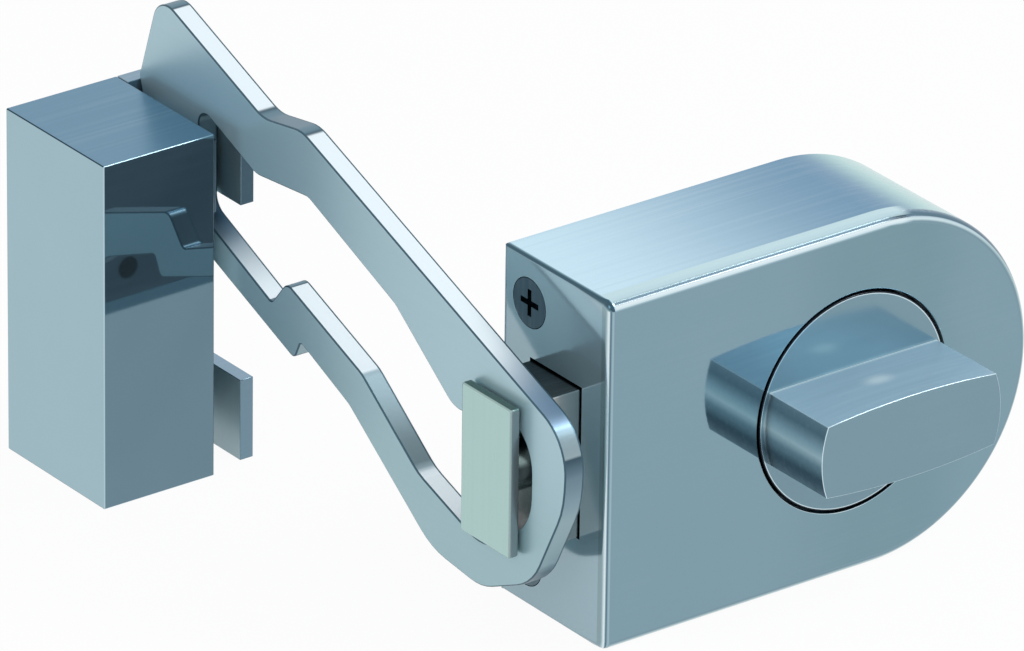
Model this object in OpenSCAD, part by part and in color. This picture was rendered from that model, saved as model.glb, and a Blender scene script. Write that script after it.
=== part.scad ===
// Rim deadbolt with a security stirrup: lock case with turn knob and T-headed bolt on the
// door side, strike box with a swinging stirrup on the frame side, shown with the door ajar.
// The origin is on the knob axis in the rear plane of the lock case, the plane that meets
// the door. +X runs away from the strike, +Y into the door, +Z up.
// Most modules are drawn in the lock's own directions, x along, y up and z out of the door,
// and lock_frame() turns them upright.

/* [Case] */
// Height of the lock case, and so the diameter of its round end
case_h = 80; // [72:1:96]
// Length of the lock case from its bolt face to its round end
case_len = 111; // [106:1:130]
// Depth of the lock case from the door to its front face
case_d = 36; // [35:0.5:40]
// Wall thickness of the case cover
case_wall = 3; // [2.5:0.1:3.5]
// Radius of the rounded edge round the case's front face
front_fillet = 2.4; // [1:0.1:2.6]
// Distance from the round end to the knob axis
knob_to_end = 47; // [43:1:52]
// Thickness of the back plate that is screwed to the door
back_t = 3; // [2.5:0.1:4]
// Radius of the hole for an outside cylinder in the back plate
cylinder_r = 13; // [12:0.5:15]
// Radius of the screw holes that fasten the case and the strike
fixing_r = 2.6; // [2:0.1:3]
// Distance of the first two fixing holes from the case's bolt face
fix_from_bolt = 14; // [12:0.5:20]
// How far the other two fixing holes lie past the centre of the round end
fix_past_centre = 12; // [8:0.5:14]
// Distance of the fixing holes from the case's top and bottom
fix_edge = 10; // [9.5:0.5:13]

/* [Cover screws] */
// Radius of the heads of the two countersunk cover screws
cover_head_r = 5.45; // [5:0.05:6.2]
// Shank radius of the cover screws
cover_shank_r = 3; // [2:0.1:3.2]
// Length of a cover screw over its head
cover_screw_len = 9; // [8:0.5:12]
// Distance of the cover screws from the door face
cover_screw_out = 8.7; // [8:0.1:9.4]
// Distance of the cover screws from the case's top and bottom
cover_screw_edge = 10.3; // [9:0.1:12]
// Thickness of the tabs that the cover screws enter
tab_t = 4.5; // [4:0.1:5]
// How far a tab reaches out past its screw's axis
tab_out = 5.6; // [5:0.1:7]
// How far a tab reaches towards the middle past its screw's axis
tab_in = 9; // [6:0.5:9.5]

/* [Bolt] */
// Thickness of the bolt, front to rear
bolt_w = 17; // [15:0.5:18]
// Height of the bolt
bolt_h = 34; // [30:1:36]
// How far the bolt stands out of the case
bolt_reach = 9.3; // [9:0.1:10]
// Distance from the knob axis to the bolt's tail
bolt_tail = 30; // [28:0.5:33]
// Radius of the round neck that carries the T-plate
neck_r = 6; // [5.5:0.1:6.2]
// Thickness of the T-plate on the end of the neck
t_plate_t = 2.5; // [2:0.1:3]
// Radius of the spigot that seats in the bolt block
spigot_r = 5; // [4:0.1:6]
// Length of the spigot that seats in the bolt block
spigot_len = 15; // [14:0.5:18]
// Radius of the pin through the bolt block and the spigot
head_pin_r = 1.5; // [1:0.1:2]
// Distance of that pin from the spigot's end
head_pin_in = 3; // [2.5:0.1:5]
// How far that pin's ends stand in from the bolt's top and bottom
head_pin_short = 1; // [0.2:0.1:2]

/* [Guides] */
// Thickness of the plate that guides the front of the bolt
guide_t = 3; // [2.5:0.1:3]
// Height of the guide plates
guide_h = 50; // [48:1:54]
// Length of the rails above and below the bolt
rail_len = 31; // [26:1:34]
// Distance of the guide plates' far end from the case's round end
guide_from_end = 17; // [16:0.5:19]
// Gap between the cover screws' tabs and the guide plates
guide_space = 0.8; // [0.5:0.1:2]
// Shank radius of the screws that hold the guides
guide_screw_r = 1.5; // [1:0.1:1.6]
// Head radius of the screws that hold the guides
guide_head_r = 2.85; // [2.2:0.05:3]
// Distance of the guide screws from the rails' ends
guide_screw_in = 5; // [4:0.1:7]
// How far the guide screws end short of the door face
guide_screw_short = 0.8; // [0.5:0.1:1.5]
// Radius of the pillars that carry the knob end of the guide
pillar_r = 4.5; // [4:0.1:4.8]
// How far the pillars stand in from the guide's edges
pillar_in = 0.8; // [0.3:0.1:1.5]
// Radius of the pinion's journal in the rear guide
journal_r = 5; // [4.6:0.1:5.5]
// Length of the journal's seat in the rear guide
journal_len = 3.2; // [2.5:0.1:5]

/* [Knob] */
// Radius of the knob's disc, flush with the case front
disc_r = 24.5; // [22:0.5:27]
// Thickness of the knob's disc
disc_t = 4; // [3.6:0.1:4]
// Gap of the dark ring round the disc
ring_gap = 0.6; // [0.3:0.1:0.8]
// Height of the knob's grip bar at its foot
grip_h = 16.4; // [14:0.2:20]
// How far the grip bar stands out of the disc
grip_out = 20; // [16:0.5:24]
// How far the grip's front edges bow outwards at their middle
grip_bow = 1.3; // [0.4:0.1:2]
// How far the grip's ends stand in from the disc's edge
grip_inset = 0.9; // [0.2:0.1:1.5]
// Radius of the hub that turns in the bush
hub_r = 8; // [7:0.1:8.4]
// Wall of the knob's bush
bush_wall = 2; // [1.5:0.1:2.5]
// Thickness of the bush's flange
bush_flange_t = 1; // [0.8:0.1:1.2]
// How far the bush's flange stands out of the bush
bush_flange_w = 2; // [1:0.1:3]
// Thickness of the washer between the bush and the disc
washer_t = 0.6; // [0.4:0.1:1]
// Thickness of the ring that retains the knob
ring_t = 1; // [0.8:0.1:1.2]
// How far the retaining ring stands out of the hub
ring_w = 2; // [1.5:0.1:2.5]
// Depth of the retaining ring's groove in the hub
groove_deep = 1; // [0.6:0.1:1.2]
// Length of the hub past its retaining ring
hub_tip = 1.2; // [1:0.1:2]
// Side of the square spindle
spindle_side = 5; // [4.4:0.1:5.2]
// How deep the spindle goes into the knob's disc
spindle_in = 1; // [0.5:0.1:2]
// Gap between the rear guide and the spindle's end
spindle_gap = 0.5; // [0.3:0.1:1]
// Length of the slot for an outside cylinder's tailpiece
tail_slot_len = 7.6; // [6:0.1:8]
// Width of the slot for an outside cylinder's tailpiece
tail_slot_w = 2.4; // [1.8:0.1:3]

/* [Rack and pinion] */
// Tooth module, so that one radian moves the bolt by half the tooth count times this
gear_module = 1; // [0.9:0.05:1.05]
// Number of pinion teeth
pinion_teeth = 12; // [12:1:13]
// Width of the pinion's teeth
pinion_w = 10; // [8:0.5:10]
// Height of the rack above its teeth
rack_h = 5.75; // [5:0.25:6.5]
// Width of the rack
rack_w = 11; // [9:0.5:12]
// Distance from the knob axis to the rack's free end
rack_end = 8; // [7:0.5:10]
// Length of the rack that lies in the bolt block
rack_hold = 14; // [12:0.5:16]
// Shank radius of the rack's two screws
rack_screw_r = 1.5; // [1:0.1:1.8]
// Head radius of the rack's two screws
rack_head_r = 2.85; // [2.2:0.05:3.2]
// Distance of the rack's screws from the ends of the held length
rack_screw_in = 3.5; // [3.3:0.1:3.7]
// How far the rack's screws end above the root of its teeth
rack_screw_short = 1.5; // [1.2:0.1:3]
// Radius of the pin that holds the pinion on the spindle
pinion_pin_r = 1; // [0.6:0.1:1.2]
// How far that pin's ends stand in from the journal's surface
pinion_pin_short = 0.2; // [0.1:0.05:0.5]

/* [Strike] */
// Width of the strike's block
strike_w = 28.4; // [26:0.1:34]
// Depth of the strike's block
strike_d = 36; // [35:0.5:40]
// Wall thickness of the strike's cover
strike_wall = 3; // [2.5:0.1:3.2]
// Thickness of the strike body's rear plate
strike_back_t = 4; // [3:0.1:4.2]
// Thickness of the keeper wall that takes the bolt
keeper_t = 3; // [2.5:0.1:3.4]
// Thickness of the two lugs beside the stirrup
lug_t = 3.4; // [3:0.1:4]
// How far the upper lug reaches below the hinge pin's axis
lug_rim = 6; // [5:0.5:7]
// Height of the lower lug
lower_lug_h = 19; // [17:0.5:21]
// How far the lugs stand back from the block's front face
lug_back = 2.7; // [1:0.1:4]
// Free width beside the bolt in the keeper's window
window_clear = 0.8; // [0.5:0.1:1.2]
// Distance between the strike's fixing holes across the block
strike_fix_w = 12; // [11:0.5:14]
// Distance of the strike's fixing holes from the block's top and bottom
strike_fix_edge = 16; // [12:0.5:20]
// Shank radius of the two screws that hold the strike's cover
strike_screw_r = 2; // [1.5:0.1:2.2]
// Head radius of the two screws that hold the strike's cover
strike_head_r = 4; // [3:0.1:4.4]
// Length of those screws over their heads
strike_screw_len = 7; // [6.5:0.5:10]
// Distance of those screws from the strike's rear plate
strike_screw_in = 13; // [10:0.5:15]
// Distance between those two screws
strike_screw_gap = 10; // [9:0.5:12]
// Thickness of the flange that those screws enter
flange_t = 3; // [2.5:0.1:4]
// How far the flange reaches out past those screws
flange_rim = 6; // [4:0.5:7]

/* [Stirrup] */
// Thickness of the stirrup plate
stirrup_t = 5; // [4:0.1:5]
// How far the strike's rear face lies behind the case's rear face, with the door ajar
door_ajar = 114; // [108:1:122]
// Distance of the stirrup's pivot from the strike's top
pivot_edge = 14; // [13.5:0.1:15]
// Gap between the stirrup's root and the strike's rear plate
root_gap = 0.8; // [0.6:0.1:1.2]
// Radius of the hinge pin
hinge_r = 4; // [3.5:0.1:4.2]
// How far the hinge pin's head stands out of the pin
hinge_head_w = 2.5; // [1.5:0.1:3]
// Thickness of the hinge pin's head
hinge_head_t = 1.6; // [1:0.1:2]
// Length of the hinge pin past its clip
hinge_tip = 1.8; // [1:0.1:3]
// Thickness of the clip on the hinge pin
clip_t = 0.9; // [0.6:0.1:1.2]
// Width of the clip past the pin
clip_w = 2.2; // [1.5:0.1:2.5]
// Depth of the clip's groove in the hinge pin
clip_groove = 1; // [0.6:0.1:1.2]
// Width of the rings on the hinge pin beside the stirrup
hinge_ring_w = 4; // [3:0.1:5]
// Wall of the bush that is pressed into the stirrup
stirrup_bush_wall = 2; // [1.5:0.1:2.2]
// Radius of the stirrup round its pivot
root_r = 10.4; // [10:0.1:10.5]
// Gap between the stirrup's plate and the strike's block
stirrup_gap = 3.2; // [2.8:0.1:3.4]

/* [Clearances] */
// Radial clearance of a turning fit
run_clear = 0.05; // [0.03:0.01:0.08]
// Clearance of a piece that lies in a casing
seat_clear = 0.15; // [0.1:0.05:0.2]
// Clearance of a sliding piece on each side
slide_clear = 0.3; // [0.3:0.05:0.4]
// Gap in front of the bolt to its guide plate
guide_gap = 0.5; // [0.3:0.05:0.6]
// Gap on each side of the stirrup to the T-plate, the bolt and the strike's cheeks
stirrup_play = 0.5; // [0.4:0.05:0.7]
// Free play of the knob along its axis
knob_play = 0.4; // [0.3:0.05:0.6]
// Clearance round the heads of the countersunk screws
head_clear = 0.2; // [0.1:0.05:0.3]
// Backlash between the rack and the pinion at their pitch line
backlash = 0.2; // [0.15:0.01:0.3]

/* [Hidden] */
$fn = 72;
cut = 1;

// Lock case from its bolt face to its round end
end_r = case_h / 2;
end_x = knob_to_end - end_r;
bolt_face_x = knob_to_end - case_len;
inner_r = end_r - case_wall;
inner_x = bolt_face_x + case_wall;
fix_places = [bolt_face_x + fix_from_bolt, end_x + fix_past_centre];
fix_up = case_h / 2 - fix_edge;

// Lock case from its front face down to the door
disc_back = case_d - disc_t;
guide_top = disc_back - knob_play - washer_t - bush_flange_t;
guide_front = guide_top - guide_t;
bolt_front = guide_front - guide_gap;
bolt_out = bolt_front - bolt_w / 2;
bolt_rear = bolt_front - bolt_w;
rear_guide_top = bolt_rear - slide_clear;
journal_start = rear_guide_top - journal_len;

// Cover screws and the tabs that they enter
cover_screw_up = case_h / 2 - cover_screw_edge;
tab_x = inner_x + seat_clear;
cross_len = 1.12;
cross_w = 0.24;
cross_deep = 0.5;

// Bolt with its T-head, from the stirrup to the rack
bolt_x = bolt_face_x - bolt_reach;
stirrup_x = bolt_x - stirrup_play - stirrup_t;
t_plate_x = stirrup_x - stirrup_play - t_plate_t;
head_pin_x = bolt_x + spigot_len - head_pin_in;

// Guides
guide_x = tab_x + tab_t + guide_space;
guide_end = knob_to_end - guide_from_end;
rail_in = bolt_h / 2 + slide_clear;
rail_screw_up = (rail_in + guide_h / 2) / 2;
pillar_place = [guide_end - pillar_r - pillar_in, guide_h / 2 - pillar_r - pillar_in];
guide_screw_places = [
    [guide_x + guide_screw_in, rail_screw_up],
    [guide_x + rail_len - guide_screw_in, rail_screw_up],
    pillar_place
];

// Knob, bush and spindle
bush_r = hub_r + run_clear + bush_wall;
bush_flange_r = bush_r + bush_flange_w;
bush_end = guide_front - run_clear;
ring_top = bush_end - slide_clear;
hub_end = ring_top - ring_t - hub_tip;
spindle_start = rear_guide_top + spindle_gap;
spindle_end = disc_back + spindle_in;

// Grip bar and the steps that its curves are drawn in
grip_r = disc_r - grip_inset;
grip_steps = 12;
grip_ends = 8;
grip_layers = 4;

// Rack and pinion
pitch_r = gear_module * pinion_teeth / 2;
tooth_pitch = PI * gear_module;
pressure_angle = 20;
first_tooth = 90;
rack_addendum = 0.7 * gear_module;
pinion_addendum = 0.8 * gear_module;
pinion_root_r = pitch_r - 1.1 * gear_module;
rack_root = pitch_r + 1.25 * gear_module;
base_r = pitch_r * cos(pressure_angle);
pinion_start = bolt_out - pinion_w / 2;
pinion_pin_out = (rear_guide_top + pinion_start) / 2;
rack_start = bolt_out - rack_w / 2;
rack_x = -bolt_tail - rack_hold;
rack_room = seat_clear / 3;
rack_screw_len = bolt_h / 2 - rack_root - rack_screw_short;
rack_screw_places = [rack_x + rack_screw_in, rack_x + rack_hold - rack_screw_in];

// Strike, whose depths count down from the case's rear plane
strike_back = -door_ajar;
strike_front = strike_back + strike_d;
strike_plate_out = strike_back + strike_back_t;
strike_right = stirrup_x - stirrup_gap;
strike_left = strike_right - strike_w;
strike_inner_h = case_h / 2 - strike_wall - seat_clear;
plate_left = strike_left + strike_wall + seat_clear;
keeper_x = strike_right - seat_clear;
keeper_left = keeper_x - keeper_t;
cheek_x = stirrup_x - stirrup_play;
lug_x = stirrup_x + stirrup_t + stirrup_play;
lug_right = lug_x + lug_t;
strike_bolt_out = strike_front - (case_d - bolt_out);
strike_fix_x = (plate_left + keeper_left) / 2;
strike_fix_up = case_h / 2 - strike_fix_edge;
strike_screw_out = strike_plate_out + strike_screw_in;
strike_screw_places = [strike_fix_x - strike_screw_gap / 2, strike_fix_x + strike_screw_gap / 2];

// Hinge of the stirrup
pivot_up = case_h / 2 - pivot_edge;
pivot_out = strike_plate_out + root_gap + root_r;
hinge_ring_r = hinge_r + hinge_ring_w;
clip_x = keeper_left - run_clear - clip_t;
hinge_end_x = clip_x - hinge_tip;

// Outline of the stirrup seen along its hinge, with corners as [y, z, rounding radius]
pivot_y = -pivot_out;
neck_y = -bolt_out;
arc_step = 9;
stirrup_edge = [
    [pivot_y + root_r, pivot_up, 0],
    [pivot_y + root_r, pivot_up + 12, 1.5],
    [pivot_y + root_r + 1, pivot_up + 14.8, 3],
    [pivot_y + 4.4, pivot_up + 36.4, 5.6],
    [pivot_y - 33.6, pivot_up + 21.7, 10],
    [pivot_y - 47.3, pivot_up + 24, 9],
    [neck_y - 23.8, 15, 12],
    [neck_y - 22.8, -1, 22],
    [neck_y - 12.5, -22, 16],
    [neck_y + 5, -30, 14],
    [neck_y + 22.5, -28, 18],
    [pivot_y - 64.8, pivot_up - 32.5, 8],
    [pivot_y - 47.4, pivot_up - 25, 0.9],
    [pivot_y - 45.2, pivot_up - 29.7, 1.4],
    [pivot_y - 2, pivot_up - 12.6, 5]
];

stirrup_opening = [
    [pivot_y - root_r, pivot_up + 16.2, 3],
    [pivot_y - 31.2, pivot_up + 7.8, 6],
    [pivot_y - 49.8, pivot_up + 9.6, 4],
    [neck_y + 36, 23, 6],
    [neck_y + 14, 6.6, 7],
    [neck_y - 11.8, 19, 10],
    [neck_y - 11.8, -7.5, 12],
    [neck_y + 3, -21, 12],
    [neck_y + 27.5, -12.5, 14],
    [pivot_y - 69.3, pivot_up - 23.6, 8],
    [pivot_y - 42.3, pivot_up - 13.1, 2.5],
    [pivot_y - 36.9, pivot_up - 19.7, 1.3],
    [pivot_y - root_r, pivot_up - 8.4, 4]
];

// Turns the lock's own directions, x along, y up and z out of the door, upright
module lock_frame()
{
    rotate([90, 0, 0])
        children();
}

// A box given by its low and high corners
module block(low, high)
{
    translate(low)
        cube(high - low);
}

// Both copies of a piece that lies above and below the middle
module up_and_down()
{
    children();
    mirror([0, 1, 0])
        children();
}

// A countersunk screw whose head is flush with z = 0 and whose shank points down
module flat_head_screw(head_r, shank_r, length)
{
    head_t = head_r - shank_r;
    difference() {
        union() {
            translate([0, 0, -head_t])
                cylinder(h = head_t, r1 = shank_r, r2 = head_r);
            translate([0, 0, -length])
                cylinder(h = length - head_t, r = shank_r);
        }
        cross_recess(head_r);
    }
}

module cross_recess(head_r)
{
    half = head_r * cross_len / 2;
    thick = head_r * cross_w / 2;
    deep = head_r * cross_deep;
    block([-half, -thick, -deep], [half, thick, cut]);
    block([-thick, -half, -deep], [thick, half, cut]);
}

// The hole for a countersunk screw, open upwards at z = 0
module flat_head_hole(head_r, shank_r, length)
{
    countersink(head_r, shank_r);
    translate([0, 0, -length])
        cylinder(h = length, r = shank_r + head_clear);
}

module countersink(head_r, shank_r)
{
    head_t = head_r - shank_r;
    wide = head_r + head_clear;
    translate([0, 0, -head_t])
        cylinder(h = head_t, r1 = shank_r + head_clear, r2 = wide);
    cylinder(h = cut, r = wide);
}

module ring(outer_r, inner_r, height)
{
    difference() {
        cylinder(h = height, r = outer_r);
        translate([0, 0, -cut])
            cylinder(h = height + 2 * cut, r = inner_r);
    }
}

// Flat outline of the case: straight towards the strike, half round at the other end
module case_outline(left, radius)
{
    translate([end_x, 0])
        circle(r = radius);
    translate([left, -radius])
        square([end_x - left, 2 * radius]);
}

// Half section of the case's edge, from the middle out to the rounded front corner
module edge_section(radius, height, fillet)
{
    square([radius, height - fillet]);
    square([radius - fillet, height]);
    translate([radius - fillet, height - fillet])
        circle(r = fillet);
}

// Solid case with a rounded edge round its front face
module case_solid(left, radius, height, fillet)
{
    translate([end_x, 0, 0])
        rotate([0, 0, -90])
            rotate_extrude(angle = 180)
                edge_section(radius, height, fillet);
    translate([left, 0, 0])
        rotate([90, 0, 90])
            linear_extrude(end_x - left)
                union() {
                    edge_section(radius, height, fillet);
                    mirror([1, 0])
                        edge_section(radius, height, fillet);
                }
}

module case_cover()
{
    color([0.55, 0.68, 0.74])
        lock_frame()
            difference() {
                case_solid(bolt_face_x, end_r, case_d, front_fillet);
                translate([0, 0, -cut])
                    linear_extrude(case_d - case_wall + cut)
                        case_outline(inner_x, inner_r);
                translate([0, 0, disc_back - cut])
                    cylinder(h = disc_t + 2 * cut, r = disc_r + ring_gap);
                bolt_opening();
                cover_screw_places()
                    flat_head_hole(cover_head_r, cover_shank_r, case_wall + cut);
            }
}

module bolt_opening()
{
    across = bolt_w / 2 + slide_clear;
    block([bolt_face_x - cut, -rail_in, bolt_out - across],
          [inner_x + cut, rail_in, bolt_out + across]);
}

module cover_screw_places()
{
    up_and_down()
        translate([bolt_face_x, cover_screw_up, cover_screw_out])
            rotate([0, -90, 0])
                children();
}

module back_plate()
{
    color([0.45, 0.5, 0.53])
        lock_frame()
            difference() {
                union() {
                    linear_extrude(back_t)
                        case_outline(tab_x, inner_r - seat_clear);
                    up_and_down()
                        block([tab_x, cover_screw_up - tab_in, back_t - seat_clear],
                              [tab_x + tab_t, inner_r - slide_clear, cover_screw_out + tab_out]);
                }
                translate([0, 0, -cut])
                    cylinder(h = back_t + 2 * cut, r = cylinder_r);
                up_and_down()
                    for (x = fix_places)
                        translate([x, fix_up, -cut])
                            cylinder(h = back_t + 2 * cut, r = fixing_r);
                cover_screw_places() {
                    countersink(cover_head_r, cover_shank_r);
                    translate([0, 0, -case_wall - tab_t - cut])
                        cylinder(h = case_wall + tab_t + cut, r = cover_shank_r + run_clear);
                }
                up_and_down()
                    guide_screw_positions()
                        translate([0, 0, guide_screw_short - seat_clear])
                            cylinder(h = back_t, r = guide_screw_r + run_clear);
            }
}

module cover_screws()
{
    color([0.33, 0.38, 0.41])
        lock_frame()
            cover_screw_places()
                flat_head_screw(cover_head_r, cover_shank_r, cover_screw_len);
}

module guide_screw_positions()
{
    for (place = guide_screw_places)
        translate([place[0], place[1], 0])
            children();
}

module bolt_guide()
{
    color([0.6, 0.63, 0.65])
        lock_frame()
            difference() {
                union() {
                    block([guide_x, -guide_h / 2, guide_front], [guide_end, guide_h / 2, guide_top]);
                    up_and_down() {
                        block([guide_x, rail_in, rear_guide_top],
                              [guide_x + rail_len, guide_h / 2, guide_front + seat_clear]);
                        pillar();
                    }
                }
                translate([0, 0, guide_front - cut])
                    cylinder(h = guide_t + 2 * cut, r = bush_r);
                up_and_down()
                    guide_screw_positions()
                        translate([0, 0, guide_top])
                            flat_head_hole(guide_head_r, guide_screw_r, guide_top - rear_guide_top + cut);
            }
}

module pillar()
{
    translate([pillar_place[0], pillar_place[1], rear_guide_top])
        cylinder(h = guide_front + seat_clear - rear_guide_top, r = pillar_r);
}

module rear_guide()
{
    color([0.6, 0.63, 0.65])
        lock_frame()
            difference() {
                block([guide_x, -guide_h / 2, back_t], [guide_end, guide_h / 2, rear_guide_top]);
                translate([0, 0, back_t - cut])
                    cylinder(h = journal_start - back_t + cut, r = cylinder_r + slide_clear);
                translate([0, 0, back_t])
                    cylinder(h = rear_guide_top, r = journal_r + run_clear);
                up_and_down()
                    guide_screw_positions()
                        cylinder(h = rear_guide_top + cut, r = guide_screw_r + head_clear);
            }
}

module guide_screws()
{
    color([0.4, 0.43, 0.45])
        lock_frame()
            up_and_down()
                guide_screw_positions()
                    translate([0, 0, guide_top])
                        flat_head_screw(guide_head_r, guide_screw_r, guide_top - guide_screw_short);
}

module knob_bush()
{
    color([0.72, 0.6, 0.36])
        lock_frame()
            difference() {
                union() {
                    translate([0, 0, bush_end])
                        cylinder(h = guide_top - bush_end, r = bush_r - run_clear);
                    translate([0, 0, guide_top])
                        cylinder(h = bush_flange_t, r = bush_flange_r);
                }
                translate([0, 0, bush_end - cut])
                    cylinder(h = guide_top + bush_flange_t - bush_end + 2 * cut, r = hub_r + run_clear);
            }
}

module thrust_washer()
{
    color([0.2, 0.2, 0.21])
        lock_frame()
            translate([0, 0, guide_top + bush_flange_t])
                ring(bush_flange_r, hub_r + seat_clear, washer_t);
}

// Outline of the grip bar between the disc's circle, with its long edges bowed by bow
function grip_outline(bow) =
    let (end_angle = asin(grip_h / 2 / grip_r), half_len = grip_r * cos(end_angle))
    concat(
        [for (i = [0:grip_steps])
            let (along = 1 - 2 * i / grip_steps)
            [half_len * along, grip_h / 2 + bow * (1 - along * along)]],
        [for (i = [1:grip_ends - 1])
            let (turn = 180 - end_angle + 2 * end_angle * i / grip_ends)
            [grip_r * cos(turn), grip_r * sin(turn)]],
        [for (i = [0:grip_steps])
            let (along = 2 * i / grip_steps - 1)
            [half_len * along, -grip_h / 2 - bow * (1 - along * along)]],
        [for (i = [1:grip_ends - 1])
            let (turn = -end_angle + 2 * end_angle * i / grip_ends)
            [grip_r * cos(turn), grip_r * sin(turn)]]
    );

// Grip bar, in layers from its straight foot to its bowed front
module grip_bar(foot, front)
{
    count = 2 * (grip_steps + grip_ends);
    points = [
        for (j = [0:grip_layers])
            let (rise = j / grip_layers)
            for (p = grip_outline(grip_bow * rise))
                [p[0], p[1], foot + (front - foot) * rise]
    ];
    sides = [
        for (j = [0:grip_layers - 1])
            for (i = [0:count - 1])
                let (a = j * count + i, b = j * count + (i + 1) % count)
                for (face = [[a, a + count, b + count], [a, b + count, b]])
                    face
    ];
    top = grip_layers * count;
    foot_middle = len(points);
    foot_faces = [for (i = [0:count - 1]) [i, (i + 1) % count, foot_middle]];
    front_faces = [for (i = [0:count - 1]) [top + (i + 1) % count, top + i, foot_middle + 1]];
    polyhedron(concat(points, [[0, 0, foot], [0, 0, front]]), concat(sides, foot_faces, front_faces));
}

module turn_knob()
{
    color([0.5, 0.62, 0.69])
        lock_frame()
            difference() {
                union() {
                    translate([0, 0, disc_back])
                        cylinder(h = disc_t, r = disc_r);
                    grip_bar(case_d - disc_t / 2, case_d + grip_out);
                    translate([0, 0, hub_end])
                        cylinder(h = disc_back - hub_end + disc_t / 2, r = hub_r);
                }
                translate([0, 0, ring_top - ring_t - run_clear])
                    ring(hub_r + cut, hub_r - groove_deep, ring_t + 2 * run_clear);
                spindle_hole(hub_end, spindle_end + run_clear);
            }
}

module spindle_hole(start, end)
{
    half = spindle_side / 2 + run_clear;
    block([-half, -half, start - cut], [half, half, end]);
}

module retaining_ring()
{
    lip = hub_r - groove_deep + run_clear;
    color([0.25, 0.27, 0.28])
        lock_frame()
            translate([0, 0, ring_top - ring_t])
                difference() {
                    ring(hub_r + ring_w, lip, ring_t);
                    block([0, -lip / 2, -cut], [hub_r + ring_w + cut, lip / 2, ring_t + cut]);
                }
}

module spindle()
{
    half = spindle_side / 2;
    color([0.5, 0.53, 0.55])
        lock_frame()
            difference() {
                block([-half, -half, spindle_start], [half, half, spindle_end]);
                pinion_pin_hole();
            }
}

module pinion_pin_hole()
{
    translate([-journal_r - cut, 0, pinion_pin_out])
        rotate([0, 90, 0])
            cylinder(h = 2 * (journal_r + cut), r = pinion_pin_r);
}

// Angle that an involute flank has turned at a radius, counted from the base circle
function flank_angle(radius) =
    let (roll = sqrt(pow(max(radius, base_r) / base_r, 2) - 1))
        roll * 180 / PI - atan(roll);

// Half the angle of a pinion tooth at a radius
function half_tooth(radius) =
    (tooth_pitch / 2 - backlash / 2) / 2 / pitch_r * 180 / PI + flank_angle(pitch_r) - flank_angle(radius);

function polar(radius, angle) = [radius * cos(angle), radius * sin(angle)];

module pinion_outline()
{
    steps = 5;
    tip_r = pitch_r + pinion_addendum;
    radii = [pinion_root_r, for (i = [0:steps]) base_r + (tip_r - base_r) * i / steps];
    last = len(radii) - 1;
    polygon([
        for (tooth = [0:pinion_teeth - 1])
            let (middle = first_tooth + tooth * 360 / pinion_teeth)
                each concat(
                    [for (i = [0:last]) polar(radii[i], middle - half_tooth(radii[i]))],
                    [for (i = [last:-1:0]) polar(radii[i], middle + half_tooth(radii[i]))]
                )
    ]);
}

module pinion()
{
    color([0.66, 0.6, 0.45])
        lock_frame()
            difference() {
                union() {
                    translate([0, 0, pinion_start])
                        linear_extrude(pinion_w)
                            pinion_outline();
                    translate([0, 0, journal_start + slide_clear])
                        cylinder(h = pinion_start - journal_start, r = journal_r);
                }
                spindle_hole(spindle_start + cut, pinion_start + pinion_w + cut);
                block([-tail_slot_len / 2, -tail_slot_w / 2, journal_start - cut],
                      [tail_slot_len / 2, tail_slot_w / 2, spindle_start + seat_clear]);
                pinion_pin_hole();
            }
}

module pinion_pin()
{
    half = journal_r - pinion_pin_short;
    color([0.35, 0.37, 0.38])
        lock_frame()
            translate([-half, 0, pinion_pin_out])
                rotate([0, 90, 0])
                    cylinder(h = 2 * half, r = pinion_pin_r - run_clear / 2);
}

module bolt()
{
    color([0.3, 0.31, 0.33])
        lock_frame()
            difference() {
                block([bolt_x, -bolt_h / 2, bolt_rear], [-bolt_tail, bolt_h / 2, bolt_front]);
                translate([bolt_x - cut, 0, bolt_out])
                    rotate([0, 90, 0])
                        cylinder(h = spigot_len + 2 * cut, r = spigot_r + run_clear);
                block([rack_x - rack_room, rack_root - 2 * gear_module, rack_start - rack_room],
                      [cut - bolt_tail, rack_root + rack_h + rack_room, rack_start + rack_w + rack_room]);
                head_pin_hole();
                for (x = rack_screw_places)
                    rack_screw_at(x)
                        flat_head_hole(rack_head_r, rack_screw_r, rack_screw_len + seat_clear);
            }
}

module head_pin_hole()
{
    translate([head_pin_x, 0, bolt_out])
        rotate([90, 0, 0])
            cylinder(h = bolt_h + 2 * cut, r = head_pin_r, center = true);
}

module t_head()
{
    color([0.68, 0.79, 0.78])
        lock_frame()
            difference() {
                union() {
                    block([t_plate_x, -bolt_h / 2, bolt_rear],
                          [t_plate_x + t_plate_t, bolt_h / 2, bolt_front]);
                    translate([t_plate_x + t_plate_t / 2, 0, bolt_out])
                        rotate([0, 90, 0])
                            cylinder(h = bolt_x - t_plate_x - t_plate_t / 2, r = neck_r);
                    translate([bolt_x - cut, 0, bolt_out])
                        rotate([0, 90, 0])
                            cylinder(h = spigot_len + cut, r = spigot_r);
                }
                head_pin_hole();
            }
}

module t_head_pin()
{
    color([0.45, 0.47, 0.48])
        lock_frame()
            translate([head_pin_x, 0, bolt_out])
                rotate([90, 0, 0])
                    cylinder(
                        h = bolt_h - 2 * head_pin_short,
                        r = head_pin_r - run_clear / 2,
                        center = true
                    );
}

// One rack tooth pointing down from the root line, centred on x = 0
module rack_tooth()
{
    slope = tan(pressure_angle);
    half = (tooth_pitch / 2 - backlash / 2) / 2;
    rise = rack_root - pitch_r;
    polygon([
        [-half - rise * slope, rack_root + cut / 4],
        [-half - rise * slope, rack_root],
        [-half + rack_addendum * slope, pitch_r - rack_addendum],
        [half - rack_addendum * slope, pitch_r - rack_addendum],
        [half + rise * slope, rack_root],
        [half + rise * slope, rack_root + cut / 4]
    ]);
}

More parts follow.
